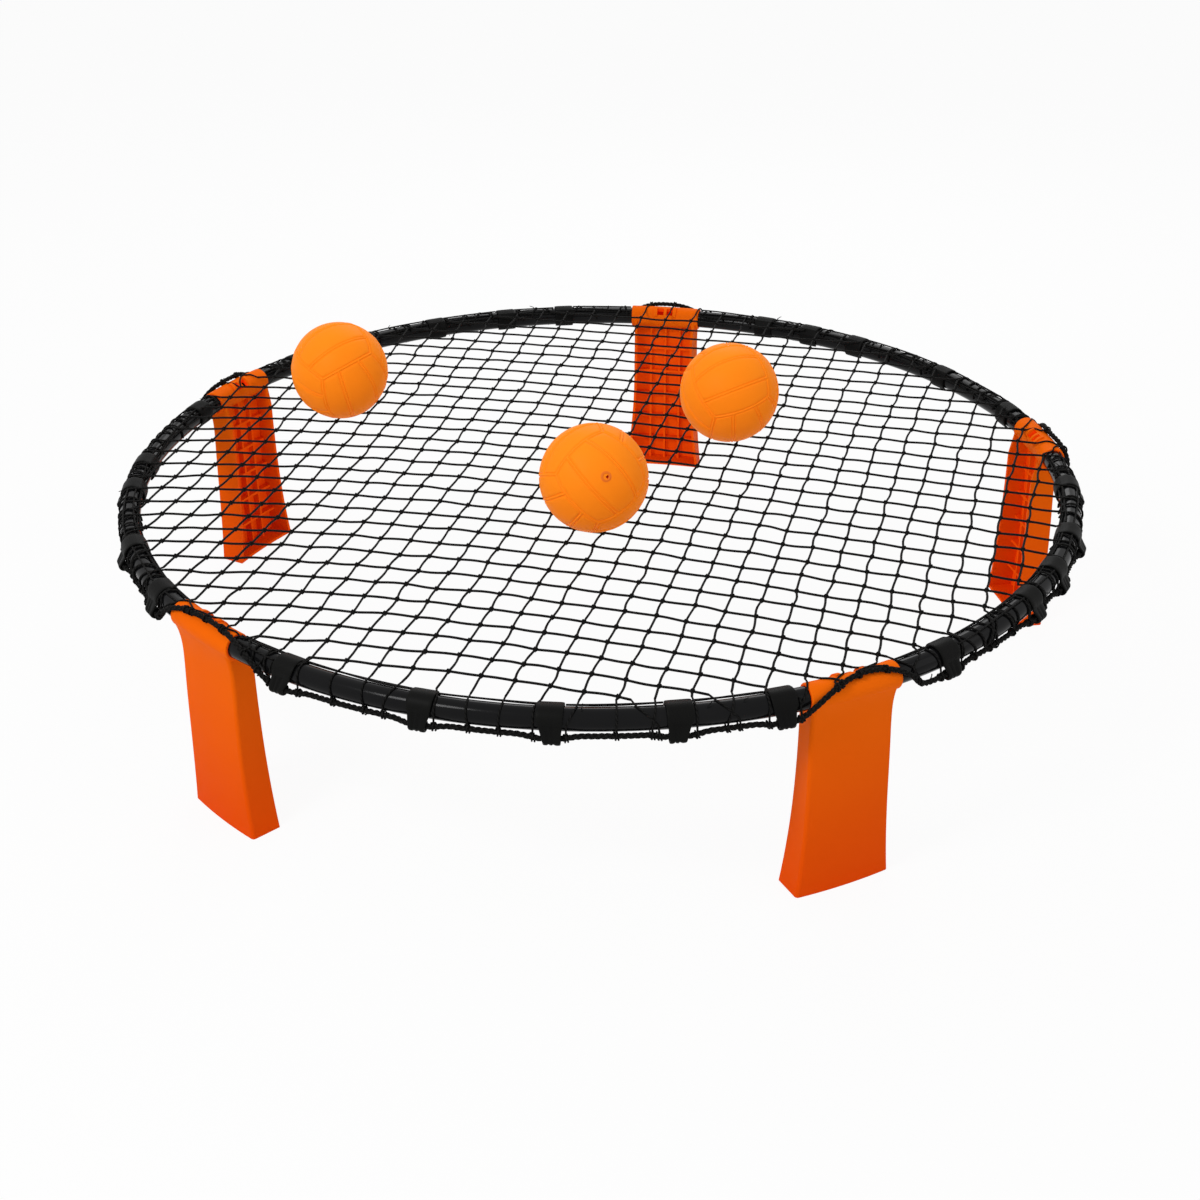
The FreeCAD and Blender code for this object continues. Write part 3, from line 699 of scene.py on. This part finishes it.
# Net: knotted square mesh, whose cords go on over the ring to the rope
print("stage: net")
netShape = {
    "cordRadius": 1.05 * mm, "level": 195.6 * mm, "edgeRadius": 436.5 * mm, "edgeCordRadius": 0.85 * mm,
    "knotWander": 0.66 * mm, "knotLift": 0.35, "bow": 0.8 * mm, "knotLoopRadius": 1.5 * mm,
    "knotCordRadius": 1.0 * mm, "knotTurns": 1.15, "knotLength": 1.9 * mm, "knotSteps": 8,
    # places of the knots: powers of the row and column numbers over ten, in millimetres
    "knotsX": (-71.04, 262.46, 68.47, -6.08, -4.39, -1.70, -1.71, 3.01, 7.39, 0.12),
    "knotsY": (-217.44, -69.76, 258.00, -17.70, -4.08, 8.47, 4.13, 6.06, 2.37, -1.50),
    "alongReach": 22, "acrossLow": -12, "acrossHigh": 28, "stepsPerMesh": 5, "seed": 11,
    # the cords' way over the ring, and their ends wound round the rope
    "sleeveSlant": 7.0, "tubeSlant": 2.4, "slantWander": 0.5, "aimBeyond": 8.0 * mm, "edgeSteps": 12,
    "clipMargin": 1.6 * mm, "edgeGap": 0.1 * mm, "edgeEndAngle": 11.0, "edgeEndSpread": 4.0 / mm,
    "hitchTurns": 1.6, "hitchPitch": 2.2 * mm, "hitchGap": 0.55 * mm, "hitchRadius": 0.8 * mm,
}
wanderSize = 80
chance = np.random.default_rng(netShape["seed"])
wander = chance.normal(0.0, 1.0, (wanderSize, wanderSize, 3))


def knotPlace(i, j):
    a, b = i / 10.0, j / 10.0
    powers = np.array((1.0, a, b, a * a, a * b, b * b, a ** 3, a * a * b, a * b * b, b ** 3))
    return np.array((powers.dot(netShape["knotsX"]), powers.dot(netShape["knotsY"]))) * mm


def knotShift(i, j):
    middle = wanderSize // 2
    return wander[i + middle, j + middle] * (1.0, 1.0, netShape["knotLift"]) * netShape["knotWander"]


def cordPath(line, isRow):
    # a cord of the mesh through its knots, between the places where it reaches the ring
    low, high = (-netShape["alongReach"], netShape["alongReach"]) if isRow else (
        netShape["acrossLow"], netShape["acrossHigh"])
    steps = netShape["stepsPerMesh"]
    points = []
    for number in range(low * steps, high * steps + 1):
        place = number / steps
        before = math.floor(place)
        share = place - before
        ease = share * share * (3 - 2 * share)
        flat = knotPlace(place, line) if isRow else knotPlace(line, place)
        shifts = [knotShift(*((knot, line) if isRow else (line, knot))) for knot in (before, before + 1)]
        bow = wander[(before * 3 + line) % wanderSize, (line * 5 + before) % wanderSize, 2] * netShape["bow"]
        shift = shifts[0] * (1 - ease) + shifts[1] * ease
        bend = bow * math.sin(math.pi * share)
        points.append((flat[0] + shift[0] + (0 if isRow else bend),
                       flat[1] + shift[1] + (bend if isRow else 0), netShape["level"] + shift[2]))
    points = np.array(points)
    away = np.hypot(points[:, 0], points[:, 1])
    middle = int(np.argmin(away))
    if away[middle] > netShape["edgeRadius"] - 4 * mm:
        return None
    start = middle
    while start > 0 and away[start - 1] < netShape["edgeRadius"]:
        start -= 1
    end = middle
    while end < len(points) - 1 and away[end + 1] < netShape["edgeRadius"]:
        end += 1
    ends = []
    for inner, outer in ((start, start - 1), (end, end + 1)):
        share = (netShape["edgeRadius"] - away[inner]) / (away[outer] - away[inner])
        ends.append(points[inner] + (points[outer] - points[inner]) * share)
    return np.vstack([ends[0], points[start:end + 1], ends[1]])


def addKnot(surface, middle, way):
    # two turns of cord drawn tight where the cords meet
    side = np.array((-way[1], way[0], 0.0))
    up = np.array((0.0, 0.0, 1.0))
    loop = netShape["knotLoopRadius"]
    for axis, across in ((way, side), (side, way)):
        spots = []
        for share in np.linspace(0.0, 1.0, netShape["knotSteps"]):
            turn = 2 * math.pi * netShape["knotTurns"] * share
            spots.append(middle + axis * ((share - 0.5) * netShape["knotLength"])
                         + (across * math.cos(turn) + up * math.sin(turn)) * loop)
        addTube(surface, spots, netShape["knotCordRadius"], 4)


def clipFreeAngle(azimuth):
    # moves a cord to the nearer side of a clip that it would run under
    room = math.degrees((clipShape["halfWidth"] + netShape["clipMargin"]) / ring["radius"])
    for clip in clipAngles:
        gap = angleApart(azimuth, clip)
        if abs(gap) < room:
            return clip + math.copysign(room, gap)
    return azimuth


def edgePath(start, way, slant):
    # from the net's edge over the tube or sleeve and down to the rope, at first the way the cord ran
    azimuth = math.degrees(math.atan2(start[1], start[0]))
    onSleeve = abs(nearestLeg(azimuth)) < ring["sleeveHalf"]
    outer = ring["radius"] + netShape["aimBeyond"]
    along = start[0] * way[0] + start[1] * way[1]
    reach = -along + math.sqrt(max(along * along + outer * outer - start[0] ** 2 - start[1] ** 2, 0.0))
    ahead = math.degrees(math.atan2(start[1] + way[1] * reach, start[0] + way[0] * reach))
    limit = netShape["sleeveSlant"] if onSleeve else netShape["tubeSlant"]
    lean = min(max(angleApart(ahead, azimuth), -limit), limit) + slant
    target = clipFreeAngle(azimuth + lean)
    outset, drop = ropePlace(target)
    ropeAway = math.hypot(outset, drop)
    inner = np.array((netShape["edgeRadius"] - ring["radius"], netShape["level"] - ring["height"]))
    points = [start]
    for share in np.linspace(0.0, 1.0, netShape["edgeSteps"]):
        place = clipFreeAngle(azimuth + angleApart(target, azimuth) * min(1.0, 0.12 + share))
        covered = abs(nearestLeg(place)) < ring["sleeveHalf"] + 1 * mm
        away = ring["sleeveRadius"] if covered else ring["tubeRadius"]
        away = away + netShape["edgeCordRadius"] + netShape["edgeGap"]
        first = math.degrees(math.atan2(inner[1], inner[0]))
        if math.hypot(*inner) > away:
            first -= math.degrees(math.acos(away / math.hypot(*inner)))
        last = math.degrees(math.atan2(drop, outset)) + netShape["edgeEndAngle"]
        last += netShape["edgeEndSpread"] * max(0.0, ropeAway - away)
        points.append(aroundTube(place, away, first + (last - first) * share))
    points.append(ringPoint(target, outset, drop + ropeShape["radius"] * 0.9))
    return smoothPath(np.array(points)), target


def smoothPath(points, rounds=2):
    for _ in range(rounds):
        inner = points[1:-1] * 0.5 + (points[:-2] + points[2:]) * 0.25
        points = np.vstack([points[:1], inner, points[-1:]])
    return points


def addHitch(surface, azimuth):
    # the cord's end wound round the rope
    spots = []
    turns = netShape["hitchTurns"]
    width = netShape["hitchPitch"] * turns
    for share in np.linspace(0.0, 1.0, int(9 * turns)):
        place = azimuth + math.degrees((share - 0.5) * width / ring["radius"])
        outset, drop = ropePlace(place)
        turn = math.pi / 2 + 2 * math.pi * turns * share
        loop = ropeShape["radius"] + netShape["hitchGap"]
        spots.append(ringPoint(place, outset + loop * math.cos(turn), drop + loop * math.sin(turn)))
    addTube(surface, spots, netShape["hitchRadius"], 5)


netSurface = newSurface()
edgeSurface = newSurface()
for isRow, lines in ((True, range(netShape["acrossLow"], netShape["acrossHigh"])),
                     (False, range(-netShape["alongReach"], netShape["alongReach"]))):
    for line in lines:
        path = cordPath(line, isRow)
        if path is None:
            continue
        addTube(netSurface, path, netShape["cordRadius"], 6)
        for start, before in ((path[0], path[2]), (path[-1], path[-3])):
            way = (start - before)[:2] / np.linalg.norm((start - before)[:2])
            edge, target = edgePath(start, way, chance.normal(0.0, netShape["slantWander"]))
            addTube(edgeSurface, edge, netShape["edgeCordRadius"], 6)
            addHitch(edgeSurface, target)
for i in range(-netShape["alongReach"], netShape["alongReach"]):
    for j in range(netShape["acrossLow"], netShape["acrossHigh"]):
        flat = knotPlace(i, j)
        if math.hypot(*flat) > netShape["edgeRadius"] - 2 * mm:
            continue
        shift = knotShift(i, j)
        way = knotPlace(i + 0.1, j) - flat
        way = np.append(way / np.linalg.norm(way), 0.0)
        addKnot(netSurface, np.append(flat, netShape["level"]) + shift, way)
makePiece("netMesh", makeMesh("netMesh", netSurface, materials["net"]), "root", ["net"])


# Slack net gathered along the ring, with fewer strands and no wraps along the front
tangleShape = {
    # each strand: middle and swing of its angle in degrees, least lift and swing of the lift in millimetres
    "strands": ((122.0, 9.0, 0.95, 0.4), (134.0, 9.0, 0.95, 0.4),
                (150.0, 10.0, 0.95, 0.6), (64.0, 10.0, 0.9, 0.2)),
    "paceRange": (0.16, 0.42), "clearFront": (-123.0, -52.0), "clearStrands": 2, "shortestRun": 1.5,
    "wrapSpacing": 19.0 * mm, "wrapRadius": 0.95 * mm, "wrapLift": 0.45 * mm, "wrapSlant": 1.8,
    "wrapStarts": (150.0, 200.0), "wrapEnds": (-50.0, -20.0), "wrapShift": 0.8,
    "frayCount": 34, "frayRadius": 0.42 * mm, "frayLength": 6.0 * mm, "frayAngles": (-60.0, 150.0),
}


def addEdgeBundle(surface, start, end, strands):
    # slack meshes that lie along the inner top of the tube in a loose twist
    count = max(12, int((end - start) / 0.35))
    azimuths = np.linspace(start, end, count)
    for number, (middle, swing, lift, liftSwing) in enumerate(strands):
        phase = chance.uniform(0, 2 * math.pi)
        pace = chance.uniform(*tangleShape["paceRange"])
        points = []
        for azimuth in azimuths:
            turn = phase + pace * azimuth
            angle = middle + swing * math.sin(turn)
            away = ring["tubeRadius"] + (lift + liftSwing * (1 + math.cos(turn * 1.3 + number))) * mm
            points.append(aroundTube(azimuth, away, angle))
        addTube(surface, points, netShape["edgeCordRadius"], 5)


def addWrap(surface, azimuth):
    # a slanting turn of slack cord from the inner side over the top to the rope
    slant = chance.normal(0.0, tangleShape["wrapSlant"])
    high, low = chance.uniform(*tangleShape["wrapStarts"]), chance.uniform(*tangleShape["wrapEnds"])
    radius = tangleShape["wrapRadius"] * chance.uniform(0.75, 1.25)
    lift = tangleShape["wrapLift"] * chance.uniform(0.3, 1.0)
    points = []
    for share in np.linspace(0.0, 1.0, 14):
        place = azimuth + slant * (share - 0.5)
        away = ring["tubeRadius"] + radius + 0.2 * mm + lift * math.sin(math.pi * share) ** 2
        points.append(aroundTube(place, away, high + (low - high) * share))
    addTube(surface, smoothPath(np.array(points), 1), radius, 6)


def addFray(surface, azimuth):
    # a cut cord end standing out of a knot
    angle = chance.uniform(*tangleShape["frayAngles"])
    base = aroundTube(azimuth, ring["tubeRadius"] + 1.2 * mm, angle)
    out = aroundTube(azimuth, ring["tubeRadius"] + 9.0 * mm, angle) - base
    out /= np.linalg.norm(out)
    side = chance.normal(0.0, 1.0, 3)
    side -= out * side.dot(out)
    side /= np.linalg.norm(side)
    length = tangleShape["frayLength"] * chance.uniform(0.5, 1.0)
    points = [base + out * length * 0.62 * share + side * length * share * share
              for share in np.linspace(0.0, 1.0, 5)]
    addTube(surface, points, tangleShape["frayRadius"] * np.linspace(1.3, 0.8, 5), 5)


sleeveAngle = math.degrees((ring["sleeveHalf"] + 2 * mm) / ring["radius"])
clipRoom = math.degrees((clipShape["halfWidth"] + 1 * mm) / ring["radius"])
wrapStep = math.degrees(tangleShape["wrapSpacing"] / ring["radius"])
freeRuns = []
for leg, shares in zip(ring["legAngles"], clipShape["sharesOfBay"]):
    stops = [leg + sleeveAngle] + [leg + 72.0 * share for share in shares] + [leg + 72.0 - sleeveAngle]
    for index in range(len(stops) - 1):
        start = stops[index] + (clipRoom if index else 0.0)
        end = stops[index + 1] - (clipRoom if index + 1 < len(stops) - 1 else 0.0)
        if end - start > tangleShape["shortestRun"]:
            freeRuns.append((start, end))
for start, end in freeRuns:
    middle = angleApart((start + end) / 2, 0.0)
    isClear = tangleShape["clearFront"][0] < middle < tangleShape["clearFront"][1]
    strands = tangleShape["strands"][:tangleShape["clearStrands"] if isClear else None]
    addEdgeBundle(edgeSurface, start, end, strands)
    if not isClear:
        for azimuth in np.arange(start + 0.4, end - 0.4, wrapStep):
            addWrap(edgeSurface, azimuth + chance.uniform(-1, 1) * tangleShape["wrapShift"])
for number in range(tangleShape["frayCount"]):
    start, end = freeRuns[int(chance.integers(len(freeRuns)))]
    addFray(edgeSurface, chance.uniform(start, end))
makePiece("netEdgeTies", makeMesh("netEdgeTies", edgeSurface, materials["net"]), "root",
          ["net_edge_cords"])


# Balls: strips in three pairs of faces, with a sunk double line along each seam
print("stage: balls")
ballShape = {
    "division": 1 / 3, "grooveAway": 1.35 * mm, "grooveWidth": 0.55 * mm, "grooveDepth": 0.85 * mm,
    "bandHeight": 0.26 * mm, "bandWidth": 0.9 * mm, "seamReach": 2.6 * mm,
    "fineSteps": 13, "wideSteps": 9, "valveOpening": 3.2 * mm, "netTop": 197.425 * mm, "netGap": 0.3 * mm,
}
valveShape = {
    # distance from the valve's axis and height over the ball, in millimetres
    "profile": ((0.0, -5.2), (0.60, -5.0), (0.70, -3.0), (1.25, -2.2), (1.9, -1.5), (2.25, -0.5),
                (2.7, 0.22), (3.4, 0.40), (4.0, 0.28), (4.7, 0.06), (5.2, -0.12)),
    "sides": 40, "holeRows": 5,
}
balls = {
    "left": {"centre": (-0.265, 0.117), "valveWay": (-0.30, 0.80, 0.52),
             "firstAxis": (0.5576, -0.7778, -0.2899), "secondAxis": (-0.8233, -0.4738, -0.3124)},
    "middle": {"centre": (-0.0057, -0.1465), "valveWay": (0.222, -0.8765, 0.4275),
               "firstAxis": (0.2111, -0.8795, 0.4266), "secondAxis": (-0.7269, -0.4330, -0.5330)},
    "right": {"centre": (0.1279, 0.0515), "valveWay": (0.35, 0.62, -0.70),
              "firstAxis": (-0.0303, -0.7250, 0.6881), "secondAxis": (0.3654, -0.6488, -0.6675)},
}


def seamStations(shape):
    # lines across a face: close together along its seams, wide apart between them
    division = math.atan(shape["division"])
    reach = shape["seamReach"] / ballRadius
    seams = (-math.pi / 4, -division, division, math.pi / 4)
    angles = []
    for index, seam in enumerate(seams):
        low = seam - reach if index else seam
        high = seam + reach if index < 3 else seam
        steps = shape["fineSteps"] if 0 < index < 3 else shape["fineSteps"] // 2 + 1
        angles.extend(np.linspace(low, high, steps))
        if index < 3:
            angles.extend(np.linspace(high, seams[index + 1] - reach, shape["wideSteps"] + 2)[1:-1])
    return np.tan(np.array(angles))


def ballSurface(shape, axes, valveWay):
    stations = seamStations(shape)
    count = len(stations)
    surface = newSurface()
    for face in range(3):
        for sign in (1, -1):
            across, lengthwise = (face + 1) % 3, (face + 2) % 3
            s, t = np.meshgrid(stations, stations, indexing="ij")
            local = np.zeros((count, count, 3))
            local[..., face] = sign
            local[..., across] = s
            local[..., lengthwise] = t
            size = np.linalg.norm(local, axis=2)
            edge = np.minimum(1 - abs(s), 1 - abs(t)) / math.sqrt(2) / size
            inner = np.minimum(abs(s - shape["division"]), abs(s + shape["division"])) / size \
                / math.sqrt(1 + shape["division"] ** 2)
            apart = np.minimum(edge, inner) * ballRadius
            groove = np.exp(-((apart - shape["grooveAway"]) / shape["grooveWidth"]) ** 2)
            band = np.exp(-(apart / shape["bandWidth"]) ** 2)
            away = ballRadius - shape["grooveDepth"] * groove + shape["bandHeight"] * band
            ways = (local / size[..., None]) @ axes
            verts = (ways * away[..., None]).reshape(-1, 3)
            hidden = (ways.reshape(-1, 3) @ valveWay) > math.cos(shape["valveOpening"] / ballRadius)
            faces, uvs = [], []
            for row in range(count - 1):
                for column in range(count - 1):
                    corners = [row * count + column, (row + 1) * count + column,
                               (row + 1) * count + column + 1, row * count + column + 1]
                    if hidden[corners].all():
                        continue
                    faces.append(corners if sign > 0 else corners[::-1])
                    uvs.extend([(0.0, 0.0)] * 4)
            addPart(surface, verts, faces, uvs)
    return surface


def valveSurface(valveWay):
    # a low collar round a dimple with the needle's hole, turned about the valve's axis
    first = np.cross(valveWay, (0.0, 0.0, 1.0))
    first /= np.linalg.norm(first)
    second = np.cross(valveWay, first)
    sides = valveShape["sides"]
    verts = []
    for away, height in valveShape["profile"]:
        away, height = away * mm, height * mm
        level = math.sqrt(ballRadius ** 2 - away ** 2) + height
        for turn in np.linspace(0, 2 * math.pi, sides, endpoint=False):
            verts.append(valveWay * level + (first * math.cos(turn) + second * math.sin(turn)) * away)
    rowCount = len(valveShape["profile"])
    faces, uvs = turnedOver(*gridFaces(rowCount, sides, [0.0] * rowCount))
    surface = newSurface()
    addPart(surface, np.array(verts), faces, uvs)
    return surface


ballHeight = ballShape["netTop"] + ballShape["netGap"] + ballRadius
for name, facts in balls.items():
    first = np.array(facts["firstAxis"]) / np.linalg.norm(facts["firstAxis"])
    second = np.array(facts["secondAxis"])
    second = second - first * first.dot(second)
    second /= np.linalg.norm(second)
    axes = np.stack([first, second, np.cross(first, second)])
    valveWay = np.array(facts["valveWay"]) / np.linalg.norm(facts["valveWay"])
    move = Matrix.Translation((facts["centre"][0], facts["centre"][1], ballHeight))
    skin = makeMesh("ballSkin" + name.capitalize(), ballSurface(ballShape, axes, valveWay), materials["ball"])
    makePiece("ballSkin_" + name, skin, "ball_" + name, ["ball_" + name], move)
    plug = makeMesh("ballValve" + name.capitalize(), valveSurface(valveWay), materials["valve"])
    plug.materials.append(materials["needleHole"])
    for polygon in plug.polygons:
        if polygon.index < valveShape["sides"] * valveShape["holeRows"]:
            polygon.material_index = 1
    makePiece("ballValve_" + name, plug, "ball_" + name, ["valve_" + name], move)


# Legs and tubes keep their own solids and take their finish here
print("stage: finishes of the legs and tubes")
for name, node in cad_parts.items():
    kind = "leg" if name.startswith("leg_") else "tube" if name.startswith("rim_tube_") else None
    if kind:
        node.data.materials.clear()
        node.data.materials.append(materials[kind])
